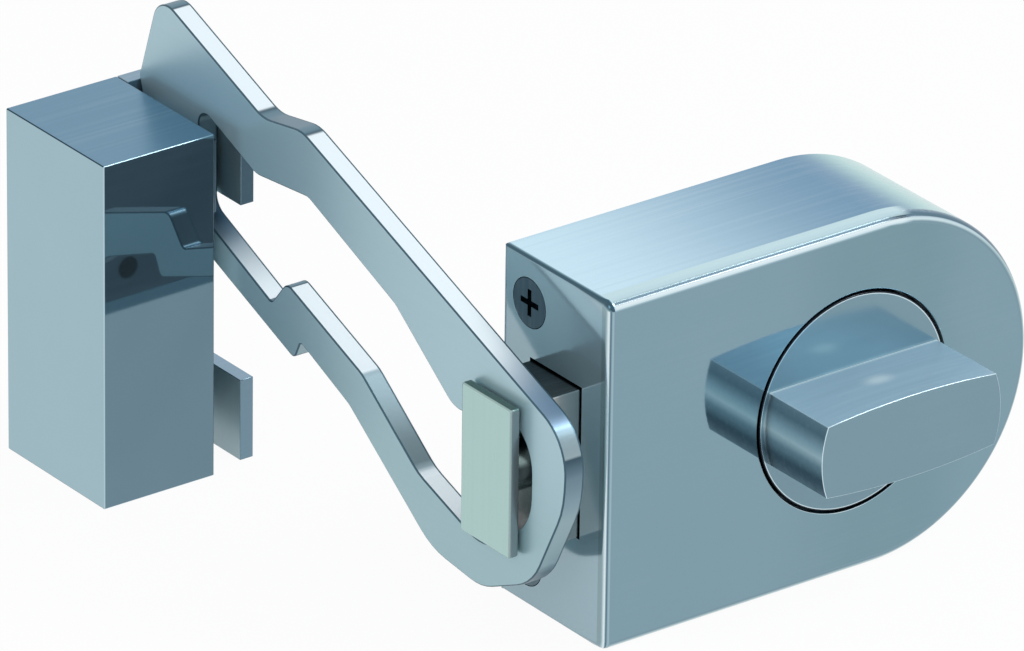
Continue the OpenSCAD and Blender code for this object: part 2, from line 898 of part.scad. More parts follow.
module rack()
{
    first = ceil((tooth_pitch / 2 - bolt_tail) / tooth_pitch);
    last = floor((rack_end - tooth_pitch) / tooth_pitch);
    color([0.5, 0.5, 0.5])
        lock_frame()
            difference() {
                union() {
                    block([rack_x, rack_root, rack_start],
                          [rack_end, rack_root + rack_h, rack_start + rack_w]);
                    for (i = [first:last])
                        translate([(i + 0.5) * tooth_pitch, 0, rack_start])
                            linear_extrude(rack_w)
                                rack_tooth();
                }
                for (x = rack_screw_places)
                    rack_screw_at(x)
                        translate([0, 0, -rack_screw_len - seat_clear])
                            cylinder(h = bolt_h, r = rack_screw_r + run_clear);
            }
}

// A place on top of the bolt, with z up out of the bolt
module rack_screw_at(x)
{
    translate([x, bolt_h / 2, bolt_out])
        rotate([-90, 0, 0])
            children();
}

module rack_screws()
{
    color([0.4, 0.42, 0.44])
        lock_frame()
            for (x = rack_screw_places)
                rack_screw_at(x)
                    flat_head_screw(rack_head_r, rack_screw_r, rack_screw_len);
}

module strike_cover()
{
    color([0.6, 0.72, 0.76])
        lock_frame()
            difference() {
                block([strike_left, -case_h / 2, strike_back], [strike_right, case_h / 2, strike_front]);
                block([strike_left + strike_wall, strike_wall - case_h / 2, strike_back - cut],
                      [strike_right + cut, case_h / 2 - strike_wall, strike_front - strike_wall]);
                strike_screw_positions()
                    flat_head_hole(strike_head_r, strike_screw_r, strike_wall + cut);
            }
}

// Places under the strike, with z down out of its bottom wall
module strike_screw_positions()
{
    for (x = strike_screw_places)
        translate([x, -case_h / 2, strike_screw_out])
            rotate([90, 0, 0])
                children();
}

module strike_cover_screws()
{
    color([0.4, 0.44, 0.46])
        lock_frame()
            strike_screw_positions()
                flat_head_screw(strike_head_r, strike_screw_r, strike_screw_len);
}

module strike_body()
{
    half_window = bolt_h / 2 + window_clear;
    half_bolt = bolt_w / 2 + window_clear;
    color([0.42, 0.52, 0.58])
        lock_frame()
            difference() {
                union() {
                    block([plate_left, -strike_inner_h, strike_back],
                          [lug_right, strike_inner_h, strike_plate_out]);
                    block([strike_right + seat_clear, -case_h / 2, strike_back],
                          [lug_right, case_h / 2, strike_plate_out]);
                    block([keeper_left, -strike_inner_h, strike_back],
                          [keeper_x, strike_inner_h, strike_front - strike_wall - seat_clear]);
                    block([keeper_left, pivot_up - lug_rim, strike_back],
                          [cheek_x, strike_inner_h, strike_front - strike_wall - seat_clear]);
                    block([lug_x, pivot_up - lug_rim, strike_back],
                          [lug_right, case_h / 2, strike_front - lug_back]);
                    block([lug_x, -case_h / 2, strike_back],
                          [lug_right, lower_lug_h - case_h / 2, strike_front - lug_back]);
                    block([plate_left, -strike_inner_h, strike_back],
                          [keeper_x, flange_t - strike_inner_h, strike_screw_out + flange_rim]);
                }
                block([keeper_left - cut, -half_window, strike_bolt_out - half_bolt],
                      [keeper_x + cut, half_window, strike_bolt_out + half_bolt]);
                translate([hinge_end_x, pivot_up, pivot_out])
                    rotate([0, 90, 0])
                        cylinder(h = lug_right + cut - hinge_end_x, r = hinge_r + run_clear);
                up_and_down()
                    for (side = [-1, 1])
                        translate([
                            strike_fix_x + side * strike_fix_w / 2,
                            strike_fix_up,
                            strike_back - cut
                        ])
                            cylinder(h = strike_back_t + 2 * cut, r = fixing_r);
                strike_screw_positions() {
                    countersink(strike_head_r, strike_screw_r);
                    translate([0, 0, -strike_wall - flange_t - cut])
                        cylinder(h = strike_wall + flange_t + cut, r = strike_screw_r + run_clear);
                }
            }
}

// A place on the stirrup's hinge, with z along +X
module hinge_at(x)
{
    lock_frame()
        translate([x, pivot_up, pivot_out])
            rotate([0, 90, 0])
                children();
}

module hinge_pin()
{
    color([0.5, 0.58, 0.62])
        difference() {
            union() {
                hinge_at(hinge_end_x)
                    cylinder(h = lug_right - hinge_end_x, r = hinge_r);
                hinge_at(lug_right)
                    cylinder(h = hinge_head_t, r = hinge_r + hinge_head_w);
            }
            hinge_at(clip_x - run_clear)
                ring(hinge_r + cut, hinge_r - clip_groove, clip_t + 2 * run_clear);
        }
}

module pin_clip()
{
    lip = hinge_r - clip_groove + run_clear;
    color([0.25, 0.27, 0.28])
        hinge_at(clip_x)
            difference() {
                ring(hinge_r + clip_w, lip, clip_t);
                block([0, -lip / 2, -cut], [hinge_r + clip_w + cut, lip / 2, clip_t + cut]);
            }
}

module hinge_spacer()
{
    color([0.55, 0.57, 0.58])
        hinge_at(cheek_x + run_clear)
            ring(hinge_ring_r, hinge_r + run_clear, stirrup_play - 2 * run_clear);
}

module hinge_washer()
{
    color([0.55, 0.57, 0.58])
        hinge_at(stirrup_x + stirrup_t + run_clear)
            ring(hinge_ring_r, hinge_r + run_clear, stirrup_play - 2 * run_clear);
}

// Points of the arc that rounds the corner p between its neighbours a and b
function rounded_corner(a, p, b, radius) =
    let (
        to_a = (a - p) / norm(a - p),
        to_b = (b - p) / norm(b - p),
        half = acos(to_a * to_b) / 2,
        centre = p + (to_a + to_b) / norm(to_a + to_b) * radius / sin(half),
        start = p + to_a * radius / tan(half) - centre,
        side = to_a[0] * to_b[1] - to_a[1] * to_b[0] > 0 ? -1 : 1,
        sweep = side * (180 - 2 * half),
        steps = max(1, ceil(abs(sweep) / arc_step))
    )
    [for (i = [0:steps]) centre + turned(start, sweep * i / steps)];

function turned(v, angle) = [v[0] * cos(angle) - v[1] * sin(angle), v[0] * sin(angle) + v[1] * cos(angle)];

function flat_point(corner) = [corner[0], corner[1]];

// Closed outline through the corners, each rounded by its own radius
function rounded_outline(corners) =
    let (n = len(corners))
        [
            for (i = [0:n - 1])
                let (
                    before = flat_point(corners[(i + n - 1) % n]),
                    here = flat_point(corners[i]),
                    after = flat_point(corners[(i + 1) % n])
                )
                each corners[i][2] > 0 ? rounded_corner(before, here, after, corners[i][2]) : [here]
        ];

module stirrup()
{
    color([0.55, 0.66, 0.7])
        translate([stirrup_x, 0, 0])
            rotate([90, 0, 90])
                linear_extrude(stirrup_t)
                    difference() {
                        union() {
                            polygon(rounded_outline(stirrup_edge));
                            translate([pivot_y, pivot_up])
                                circle(r = root_r);
                        }
                        polygon(rounded_outline(stirrup_opening));
                        translate([pivot_y, pivot_up])
                            circle(r = hinge_r + stirrup_bush_wall + run_clear);
                    }
}

module stirrup_bush()
{
    color([0.72, 0.6, 0.36])
        hinge_at(stirrup_x)
            ring(hinge_r + stirrup_bush_wall, hinge_r + run_clear, stirrup_t);
}

case_cover();
back_plate();
cover_screws();
bolt_guide();
rear_guide();
guide_screws();
knob_bush();
thrust_washer();
turn_knob();
retaining_ring();
spindle();
pinion();
pinion_pin();
bolt();
t_head();
t_head_pin();
rack();
rack_screws();
strike_cover();
strike_body();
strike_cover_screws();
hinge_pin();
pin_clip();
hinge_spacer();
hinge_washer();
stirrup();
stirrup_bush();
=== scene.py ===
import math

import bpy
from mathutils import Matrix, Vector


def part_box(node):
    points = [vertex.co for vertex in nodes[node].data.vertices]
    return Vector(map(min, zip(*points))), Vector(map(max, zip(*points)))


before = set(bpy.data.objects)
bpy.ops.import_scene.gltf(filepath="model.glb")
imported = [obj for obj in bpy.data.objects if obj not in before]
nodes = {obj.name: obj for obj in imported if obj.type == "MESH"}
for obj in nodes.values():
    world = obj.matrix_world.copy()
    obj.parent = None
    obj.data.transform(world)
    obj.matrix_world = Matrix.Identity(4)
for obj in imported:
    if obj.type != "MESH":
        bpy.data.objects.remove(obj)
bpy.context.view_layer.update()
scene = bpy.context.scene

MM = 0.001
TINY = 1e-4

# Places that colours and roundings start from, out of the solids' own boxes
case_low, case_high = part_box("case_cover")
BOLT_FACE_X = case_low[0]
CASE_FRONT_Y = case_low[1]
CASE_TOP_Z = case_high[2]
DISC_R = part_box("turn_knob")[1][0]
# Where the neck's painted shade begins behind the T-plate, and where the painted dark line along the
# stirrup's far side begins
FAR_LINE_WIDTH = 0.55 * MM
stirrup_low, stirrup_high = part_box("stirrup")
NECK_X = stirrup_low[0]
STIRRUP_FAR_X = stirrup_high[0] - FAR_LINE_WIDTH


# Shader graph helpers

def srgb(r, g, b):
    """A colour given as 0 to 255 in sRGB, as linear values."""
    shares = (v / 255 for v in (r, g, b))
    return tuple(v / 12.92 if v <= 0.04045 else ((v + 0.055) / 1.055) ** 2.4 for v in shares)


class Graph:
    """Short names for building one material's node graph."""

    MIX_A, MIX_B, MIX_RESULT = 6, 7, 2

    def __init__(self, name):
        self.mat = bpy.data.materials.new(name)
        self.mat.use_nodes = True
        self.tree = self.mat.node_tree
        self.tree.nodes.clear()
        self.out = self.tree.nodes.new("ShaderNodeOutputMaterial")

    def node(self, kind, **settings):
        made = self.tree.nodes.new(kind)
        for key, value in settings.items():
            setattr(made, key, value)
        return made

    def link(self, source, target):
        self.tree.links.new(source, target)

    def feed(self, socket, value):
        if isinstance(value, bpy.types.NodeSocket):
            self.link(value, socket)
        else:
            socket.default_value = value

    def math(self, operation, a, b=0.0, c=0.0, clamp=False):
        made = self.node("ShaderNodeMath", operation=operation, use_clamp=clamp)
        for socket, value in zip(made.inputs, (a, b, c)):
            self.feed(socket, value)
        return made.outputs[0]

    def chain(self, operation, values):
        result = values[0]
        for value in values[1:]:
            result = self.math(operation, result, value)
        return result

    def times(self, *values):
        return self.chain("MULTIPLY", values)

    def largest(self, *values):
        return self.chain("MAXIMUM", values)

    def size(self, value):
        return self.math("ABSOLUTE", value)

    def squared(self, value):
        return self.math("MULTIPLY", value, value)

    def distance(self, a, b):
        return self.math("SQRT", self.math("ADD", self.squared(a), self.squared(b)))

    def above(self, value, limit):
        return self.math("GREATER_THAN", value, limit)

    def below(self, value, limit):
        return self.math("LESS_THAN", value, limit)

    def ramp(self, value, low, high, out_low=0.0, out_high=1.0):
        made = self.node("ShaderNodeMapRange", interpolation_type="SMOOTHSTEP")
        for socket, item in zip(made.inputs[:5], (value, low, high, out_low, out_high)):
            self.feed(socket, item)
        return made.outputs[0]

    def mix(self, factor, a, b):
        made = self.node("ShaderNodeMix", data_type="RGBA")
        self.feed(made.inputs[0], factor)
        for slot, colour in ((self.MIX_A, a), (self.MIX_B, b)):
            linked = isinstance(colour, bpy.types.NodeSocket)
            self.feed(made.inputs[slot], colour if linked else (*colour, 1.0))
        return made.outputs[self.MIX_RESULT]

    def bands(self, value, stops):
        """Colours along value, from stops of (place, colour) in rising order."""
        made = self.node("ShaderNodeValToRGB")
        self.link(value, made.inputs[0])
        marks = made.color_ramp.elements
        for i, (place, colour) in enumerate(stops):
            mark = marks[i] if i < 2 else marks.new(place)
            mark.position = place
            mark.color = (*srgb(*colour), 1.0)
        return made.outputs[0]

    def split(self, vector):
        made = self.node("ShaderNodeSeparateXYZ")
        self.link(vector, made.inputs[0])
        return made.outputs

    def join(self, x, y, z):
        made = self.node("ShaderNodeCombineXYZ")
        for socket, value in zip(made.inputs, (x, y, z)):
            self.feed(socket, value)
        return made.outputs[0]

    def noise(self, vector, scale, detail=3.0, roughness=0.55):
        made = self.node("ShaderNodeTexNoise")
        self.link(vector, made.inputs["Vector"])
        made.inputs["Scale"].default_value = scale
        made.inputs["Detail"].default_value = detail
        made.inputs["Roughness"].default_value = roughness
        return made.outputs[0]


# Worked metal

# How far a normal turns to an axis while that facing's values come in
TURN_TO_X = (0.5, 0.85)
TURN_TO_Z = (0.45, 0.8)
# How far it turns to the grinding's own axis while the streaks turn upright
TURN_TO_LAY = (0.75, 0.85)
# Noise scales across and along the grinding, and the share of both that makes the coarse streaks
FINE, LONG, COARSE = 5200.0, 28.0, 0.16
STREAK_DETAIL, STREAK_ROUGHNESS = 2.0, 0.6
# What coarse streaks and fine lines add to the tone, and what the tone's dark and pale ends are
COARSE_TONE, LINE_TONE = 0.9, 0.55
DARK_TONE = 0.62
PALE_TONE = (0.86, 0.93, 0.96)
# Slow clouds, and what lines and clouds add to the roughness
CLOUD_SCALE = 38.0
LINE_ROUGHNESS, CLOUD_ROUGHNESS, LEAST_ROUGHNESS = 0.16, 0.05, 0.03
# Edge wear with a painted highlight on the edges comes in as the largest part of the normal falls through
# the range below, and noise bites into it
WEAR_AND_HIGHLIGHT_TURNS = (0.985, 0.90)
BITE_SCALE, BITE_DETAIL, BITE_ROUGHNESS = 420.0, 4.0, 0.6
BITTEN, BITE = (0.30, 0.52), 0.2
WEAR_AND_HIGHLIGHT_SHARE, WEAR_POLISH = 0.9, 0.25
BUMP_STRENGTH, BUMP_HEIGHT = 0.05, 0.02 * MM


def brushed(name, faces, rough, streak, lay="x", wear=None, cloud=0.06, metal=None, extra=None, rim=None):
    """Worked metal. faces, rough, streak and metal give the colour, roughness, grinding and metallic
    share of the faces that look along x, y and z; where the three colours differ, they are painted
    light and shade, each facing given the brightness it shows under the light. The grinding runs
    along lay; edges take the edge colour given, partly wear and partly a painted highlight. extra and
    rim are functions that change the colour of the faces and of the edges, most of it with painted
    light and shade."""
    g = Graph(name)
    coord = g.node("ShaderNodeTexCoord")
    place = coord.outputs["Object"]
    spot = g.split(place)
    normal = g.split(coord.outputs["Normal"])
    ax, ay, az = (g.size(part) for part in normal)
    to_z = g.ramp(az, *TURN_TO_Z)
    to_x = g.ramp(ax, *TURN_TO_X)

    def facing(values):
        part = g.math("MULTIPLY_ADD", to_z, values[2] - values[1], values[1])
        return g.math("MULTIPLY_ADD", to_x, g.math("SUBTRACT", values[0], part), part)

    # Streaks are fine across the grinding and long along it; faces across the lay get theirs upright
    along = {"x": (LONG, FINE, FINE), "y": (FINE, LONG, FINE), "z": (FINE, FINE, LONG)}[lay]
    turned = {"x": (FINE, FINE, LONG), "y": (LONG, FINE, FINE), "z": (FINE, LONG, FINE)}[lay]
    across = g.ramp({"x": ax, "y": ay, "z": az}[lay], *TURN_TO_LAY)

    def stretched(amounts):
        pulled = g.join(*(g.math("MULTIPLY", v, amount) for v, amount in zip(spot, amounts)))
        return g.math("SUBTRACT", g.noise(pulled, 1.0, STREAK_DETAIL, STREAK_ROUGHNESS), 0.5)

    lines_main = stretched(along)
    lines_side = stretched(turned)
    lines = g.math("MULTIPLY_ADD", across, g.math("SUBTRACT", lines_side, lines_main), lines_main)
    coarse = stretched([v * COARSE for v in along])
    clouds = g.math("SUBTRACT", g.noise(place, CLOUD_SCALE), 0.5)
    ground = facing(streak)

    # The colour of each facing, with streaks and slow drifts in it; the differences between the facings
    # are painted light and shade
    face = g.mix(to_x, g.mix(to_z, faces[1], faces[2]), faces[0])
    if extra:
        face = extra(g, face, spot, normal)
    tone = g.math("MULTIPLY_ADD", coarse, COARSE_TONE, g.math("MULTIPLY", lines, LINE_TONE))
    tone = g.math("MULTIPLY", tone, ground)
    tone = g.math("MULTIPLY_ADD", clouds, 2 * cloud, tone)
    darker = tuple(v * DARK_TONE for v in faces[1])
    face = g.mix(g.math("MULTIPLY", tone, -1.0, clamp=True), face, darker)
    face = g.mix(g.math("MULTIPLY", tone, 1.0, clamp=True), face, PALE_TONE)

    dull = g.math("MULTIPLY_ADD", g.math("MULTIPLY", lines, ground), LINE_ROUGHNESS, facing(rough))
    dull = g.math("MULTIPLY_ADD", clouds, CLOUD_ROUGHNESS, dull)

    # The rounded edges take the edge colour given: partly wear, partly a painted highlight
    if wear is not None:
        edge = g.ramp(g.largest(ax, ay, az), *WEAR_AND_HIGHLIGHT_TURNS)
        bitten = g.ramp(g.noise(place, BITE_SCALE, BITE_DETAIL, BITE_ROUGHNESS), *BITTEN)
        edge = g.math("MULTIPLY", edge, g.math("MULTIPLY_ADD", bitten, BITE, 1.0 - BITE))
        face = g.mix(g.math("MULTIPLY", edge, WEAR_AND_HIGHLIGHT_SHARE), face, wear)
        dull = g.math("MULTIPLY", dull, g.math("MULTIPLY_ADD", edge, -WEAR_POLISH, 1.0))
    if rim:
        face = rim(g, face, spot, normal)

    shader = g.node("ShaderNodeBsdfPrincipled")
    g.link(face, shader.inputs["Base Color"])
    if metal:
        g.link(facing(metal), shader.inputs["Metallic"])
    else:
        shader.inputs["Metallic"].default_value = 1.0
    g.link(g.math("MAXIMUM", dull, LEAST_ROUGHNESS), shader.inputs["Roughness"])
    bump = g.node("ShaderNodeBump")
    bump.inputs["Strength"].default_value = BUMP_STRENGTH
    bump.inputs["Distance"].default_value = BUMP_HEIGHT
    g.link(g.math("MULTIPLY", lines, ground), bump.inputs["Height"])
    g.link(bump.outputs[0], shader.inputs["Normal"])
    g.link(shader.outputs[0], g.out.inputs[0])
    return g.mat


# Colours of the case

# Painted sheen: the case's top fades from pale near the strike, and its round end turns a pale green
TOP_NEAR, TOP_FAR = srgb(196, 228, 244), srgb(104, 146, 176)
TOP_FADES = (-66 * MM, 14 * MM)
ROUND_END = srgb(160, 206, 206)
ROUND_END_TURNS = (0.1, 0.4)
PATCH = srgb(119, 150, 160)
PATCH_STARTS, PATCH_ENDS, PATCH_SHARE = (-24 * MM, 4 * MM), (36 * MM, 16 * MM), 0.8
FRONT_TURNS = (-0.95, -0.99)
INNER_WALL = srgb(120, 146, 158)
INNER_DEPTH = (1.4 * MM, 2.0 * MM)
# Painted shade on the walls of the holes in the bolt face
HOLE_WALL_SHADE = srgb(38, 50, 58)
HOLE_DEPTH, HOLE_INSET = 3.5 * MM, 3.0 * MM
HOLE_TURNS = (0.98, 0.93)


def case_tone_and_painted_light(g, face, spot, normal):
    """The case's top is paler towards the strike and its round end greener, both a painted sheen, with a
    greener patch on its front; the walls inside it are a plain grey, and the walls of the holes in its
    bolt face are painted dark with shade."""
    x, y, z = spot
    nx, ny, nz = normal
    top = g.mix(g.ramp(x, *TOP_FADES), TOP_NEAR, TOP_FAR)
    face = g.mix(g.ramp(nz, *TURN_TO_Z), face, top)
    face = g.mix(g.ramp(nx, *ROUND_END_TURNS), face, ROUND_END)
    patch = g.times(g.ramp(x, *PATCH_STARTS), g.ramp(x, *PATCH_ENDS, 0.0, PATCH_SHARE))
    face = g.mix(g.times(patch, g.ramp(ny, *FRONT_TURNS)), face, PATCH)
    steep = g.size(nx)
    inside = g.ramp(x, BOLT_FACE_X + INNER_DEPTH[0], BOLT_FACE_X + INNER_DEPTH[1])
    face = g.mix(g.times(g.ramp(steep, *TURN_TO_X), inside), face, INNER_WALL)
    behind_front = g.above(y, CASE_FRONT_Y + HOLE_INSET)
    by_bolt_face = g.below(x, BOLT_FACE_X + HOLE_DEPTH)
    under_top = g.below(g.size(z), CASE_TOP_Z - HOLE_INSET)
    hole_shade = g.times(behind_front, by_bolt_face, under_top, g.ramp(steep, *HOLE_TURNS))
    return g.mix(hole_shade, face, HOLE_WALL_SHADE)


# Bands of painted highlight and shade across the case's roundings, from the front face outwards; the last
# go from the bolt face up
FRONT_FILLET_TOP = [(0.0, (140, 168, 180)), (0.02, (146, 174, 186)), (0.07, (206, 226, 234)),
                    (0.2, (226, 241, 246)), (0.34, (214, 230, 237)), (0.4, (50, 62, 70)),
                    (0.47, (38, 47, 53)), (0.55, (38, 47, 53)), (0.61, (60, 74, 82)),
                    (0.67, (160, 184, 192)), (0.85, (190, 216, 226)), (1.0, (190, 218, 227))]
FRONT_FILLET_END = [(0.0, (140, 168, 180)), (0.04, (196, 220, 228)), (0.2, (212, 232, 238)),
                    (0.38, (188, 210, 220)), (0.48, (92, 118, 134)), (0.8, (96, 124, 142)),
                    (1.0, (116, 146, 166))]
FRONT_FILLET = [(0.0, (128, 157, 170)), (0.1, (118, 146, 158)), (0.25, (150, 178, 186)),
                (0.45, (178, 202, 206)), (0.75, (150, 176, 182)), (1.0, (140, 165, 172))]
BOLT_END = [(0.0, (128, 157, 170)), (0.07, (158, 184, 194)), (0.2, (140, 168, 180)),
            (0.36, (70, 100, 116)), (0.5, (150, 178, 188)), (0.62, (236, 247, 250)),
            (0.8, (206, 226, 231)), (0.93, (160, 184, 190)), (1.0, (140, 166, 175))]
BOLT_END_TOP = [(0.0, (140, 166, 175)), (0.03, (150, 178, 186)), (0.1, (100, 130, 142)),
                (0.25, (62, 90, 104)), (0.9, (62, 90, 104)), (0.97, (110, 142, 158)),
                (1.0, (196, 228, 240))]
FILLET_STARTS, FILLET_DEPTH = (0.004, 0.012), 2.6 * MM
FILLET_LEVEL, FILLET_RISES = (0.975, 0.992), (0.2, 0.5)
# The light strip on the top behind the front rounding is a painted sheen
STRIP = srgb(192, 220, 228)
STRIP_DEPTH, STRIP_FLAT = (4.8 * MM, 4.4 * MM), (0.98, 0.99)
END_DEPTH, END_INSET = 1.6 * MM, 1.7 * MM
END_RISES, END_FLAT = (0.1, 0.2), (0.999, 0.995)


def share_of(g, a, b):
    """How far a rounding between two faces has turned from the face b, 0, to the face a, 1."""
    a, b = g.squared(a), g.squared(b)
    return g.math("DIVIDE", a, g.math("ADD", g.math("ADD", a, b), TINY))


def case_rim_painted_light(g, face, spot, normal):
    """Light and dark bands of painted highlight and shade run along the case's rounded edges, and a
    painted sheen makes a light strip behind the level one.
    """
    x, y, z = spot
    nx, ny, nz = normal
    side = g.math("SUBTRACT", 1.0, g.squared(ny))
    upright = g.math("DIVIDE", nz, g.math("SQRT", g.math("ADD", side, TINY)))
    level = g.ramp(upright, *FILLET_LEVEL)
    curved = g.mix(g.ramp(nz, *FILLET_RISES), g.bands(side, FRONT_FILLET), g.bands(side, FRONT_FILLET_END))
    fillet = g.mix(level, curved, g.bands(side, FRONT_FILLET_TOP))
    near_front = g.ramp(y, CASE_FRONT_Y + STRIP_DEPTH[0], CASE_FRONT_Y + STRIP_DEPTH[1])
    face = g.mix(g.times(near_front, level, g.ramp(side, *STRIP_FLAT)), face, STRIP)
    on_fillet = g.times(g.ramp(side, *FILLET_STARTS), g.below(y, CASE_FRONT_Y + FILLET_DEPTH))
    face = g.mix(on_fillet, face, fillet)
    upright_end = g.bands(share_of(g, nx, ny), BOLT_END)
    level_end = g.bands(share_of(g, nz, nx), BOLT_END_TOP)
    end = g.mix(g.ramp(nz, *END_RISES), upright_end, level_end)
    outside = g.largest(g.below(y, CASE_FRONT_Y + END_INSET), g.above(g.size(z), CASE_TOP_Z - END_INSET))
    rounding = g.ramp(g.largest(g.size(nx), g.size(ny), nz), *END_FLAT)
    return g.mix(g.times(outside, g.below(x, BOLT_FACE_X + END_DEPTH), rounding), face, end)


# Colours of the stirrup

# A painted dark line for shade at the plate's sides and along the far side
DARK_EDGE = srgb(64, 94, 108)
# Bands of painted highlight and shade on its narrow edge, from where it looks down to where it looks up
STIRRUP_EDGE = [(0.0, (84, 108, 120)), (0.2, (100, 126, 138)), (0.275, (150, 176, 184)),
                (0.4, (130, 156, 168)), (0.525, (92, 118, 132)), (0.64, (56, 80, 94)),
                (0.66, (146, 166, 173)), (0.76, (132, 152, 160)), (0.82, (92, 110, 118)),
                (0.87, (92, 112, 122)), (0.905, (138, 161, 170)), (0.93, (156, 180, 190)),
                (0.95, (230, 243, 250)), (0.972, (232, 244, 250)), (0.982, (60, 86, 100)),
                (0.995, (100, 130, 146)), (1.0, (100, 130, 146))]
NOSE_SIDE, NOSE_FADES = srgb(162, 192, 199), (18 * MM, -14 * MM)
ARM, ARM_FADES, ARM_RISES = srgb(122, 148, 172), (-12 * MM, -32 * MM), (0.72, 0.78)
# Painted shade on the edge beside the strike
BY_STRIKE, BY_STRIKE_FADES, BY_STRIKE_TOP = srgb(84, 112, 130), (62 * MM, 86 * MM), 32 * MM
NARROW_TURNS = (0.5, 0.3)
CORNER_STARTS, CORNER_ENDS = (0.03, 0.12), (0.995, 0.98)


def stirrup_drift(g, face, spot, normal):
    """The stirrup's sides are darker towards its nose."""
    return g.mix(g.ramp(spot[2], *NOSE_FADES), face, NOSE_SIDE)


def stirrup_rim(g, face, spot, normal):
    """The stirrup's narrow edge is banded by its slope with painted highlight and shade, bluer on the arm
    beside the case, darker by the strike with painted shade, and darkest where it meets the plate's
    sides, where a painted dark line stands for shade; the same dark line runs along its far side."""
    x, y, z = spot
    nz = normal[2]
    steep = g.size(normal[0])
    band = g.bands(g.math("MULTIPLY_ADD", nz, 0.5, 0.5), STIRRUP_EDGE)
    band = g.mix(g.times(g.ramp(y, *ARM_FADES), g.ramp(nz, *ARM_RISES)), band, ARM)
    by_strike = g.times(g.ramp(y, *BY_STRIKE_FADES), g.below(z, BY_STRIKE_TOP))
    band = g.mix(by_strike, band, BY_STRIKE)
    band = g.mix(g.above(x, STIRRUP_FAR_X), band, DARK_EDGE)
    face = g.mix(g.ramp(steep, *NARROW_TURNS), face, band)
    return g.mix(g.times(g.ramp(steep, *CORNER_STARTS), g.ramp(steep, *CORNER_ENDS)), face, DARK_EDGE)


# Colours of the strike, the T-head and the knob

# Painted highlight and shade on the strike's rounded edges
STRIKE_UPRIGHT, STRIKE_LEVEL, STRIKE_SHADE = srgb(176, 200, 210), srgb(150, 178, 194), srgb(44, 66, 78)
STRIKE_FLAT, STRIKE_RISES = (0.99, 0.95), (0.1, 0.3)
STRIKE_TURNS_BACK, STRIKE_TURNS_RIGHT = (-0.25, -0.1), (0.1, 0.25)


def strike_rim(g, face, spot, normal):
    """The strike's edges have a painted highlight round its front and painted shade elsewhere."""
    nx, ny, nz = normal
    flat = g.largest(g.size(nx), g.size(ny), g.size(nz))
    dark = g.largest(g.ramp(ny, *STRIKE_TURNS_BACK), g.ramp(nx, *STRIKE_TURNS_RIGHT))
    light = g.mix(g.ramp(nz, *STRIKE_RISES), STRIKE_UPRIGHT, STRIKE_LEVEL)
    return g.mix(g.ramp(flat, *STRIKE_FLAT), face, g.mix(dark, light, STRIKE_SHADE))


# Painted shade on the neck, with a painted highlight where it looks up
NECK_SHADE, NECK_LIT, NECK_RISES = srgb(52, 68, 72), srgb(190, 204, 204), (0.35, 0.75)


def t_head_neck(g, face, spot, normal):
    """The neck behind the T-plate is painted dark with shade, with a painted highlight on its upper side.
    """
    neck = g.mix(g.ramp(normal[2], *NECK_RISES), NECK_SHADE, NECK_LIT)
    return g.mix(g.above(spot[0], NECK_X), face, neck)


# The colour of the painted highlights on the grip
GRIP_HIGHLIGHT, GRIP_RISES = srgb(226, 240, 246), (0.8, 0.9)
# The painted highlight spot on the grip: its middle, its half length and width, and how it fades
SPOT_X, SPOT_Y = -0.5 * MM, -45.0 * MM
SPOT_LONG, SPOT_WIDE = 5.2 * MM, 3.2 * MM
SPOT_FADES, SPOT_SHARE = (1.0, 0.1), 0.75
# The painted highlight line along the grip's foot, from the disc outwards, and its share
FOOT_REACH, FOOT_SHARE = (0.9 * MM, 0.4 * MM), 0.8
# Bands of painted highlight and shade up the grip's curved end
GRIP_END = [(0.1, (60, 80, 92)), (0.3, (84, 108, 120)), (0.45, (156, 180, 190)),
            (0.56, (240, 252, 254)), (0.66, (196, 218, 226)), (0.8, (112, 138, 152)),
            (0.92, (90, 115, 129))]
GRIP_END_SLOPE, GRIP_END_TURNS = 1.2, (-0.5, -0.85)


def grip_painted_light(g, face, spot, normal):
    """A painted highlight makes a light spot on the grip's upper side; a painted highlight runs as a light
    line along its foot, and its curved end is painted dark above and below a painted highlight band."""
    y = spot[1]
    nz = normal[2]
    across = g.math("DIVIDE", g.math("SUBTRACT", spot[0], SPOT_X), SPOT_LONG)
    out = g.math("DIVIDE", g.math("SUBTRACT", y, SPOT_Y), SPOT_WIDE)
    painted_highlight_spot = g.ramp(g.distance(across, out), *SPOT_FADES, 0.0, SPOT_SHARE)
    foot = g.ramp(y, CASE_FRONT_Y - FOOT_REACH[0], CASE_FRONT_Y - FOOT_REACH[1], 0.0, FOOT_SHARE)
    top = g.ramp(nz, *GRIP_RISES)
    face = g.mix(g.times(painted_highlight_spot, top), face, GRIP_HIGHLIGHT)
    face = g.mix(g.times(foot, top), face, GRIP_HIGHLIGHT)
    end = g.bands(g.math("MULTIPLY_ADD", nz, GRIP_END_SLOPE, 0.5), GRIP_END)
    return g.mix(g.ramp(normal[0], *GRIP_END_TURNS), face, end)


# Painted highlight and painted shadow round the disc's rim
RING_LIGHT, RING_DARK = srgb(206, 226, 234), srgb(20, 30, 40)
RING_LIGHT_WIDTH, RING_DARK_WIDTH = 0.5 * MM, 0.3 * MM


def knob_ring(g, face, spot, normal):
    """A painted shadow darkens the disc round its rim, as of a gap, with a painted highlight line inside
    the dark one.
    """
    far = g.distance(spot[0], spot[2])
    face = g.mix(g.above(far, DISC_R - RING_LIGHT_WIDTH), face, RING_LIGHT)
    return g.mix(g.above(far, DISC_R - RING_DARK_WIDTH), face, RING_DARK)


# Materials

materials = {}


def finish_of(slot, name, **kind):
    materials[slot] = brushed(name, **kind)


def each(value):
    return (value,) * 3


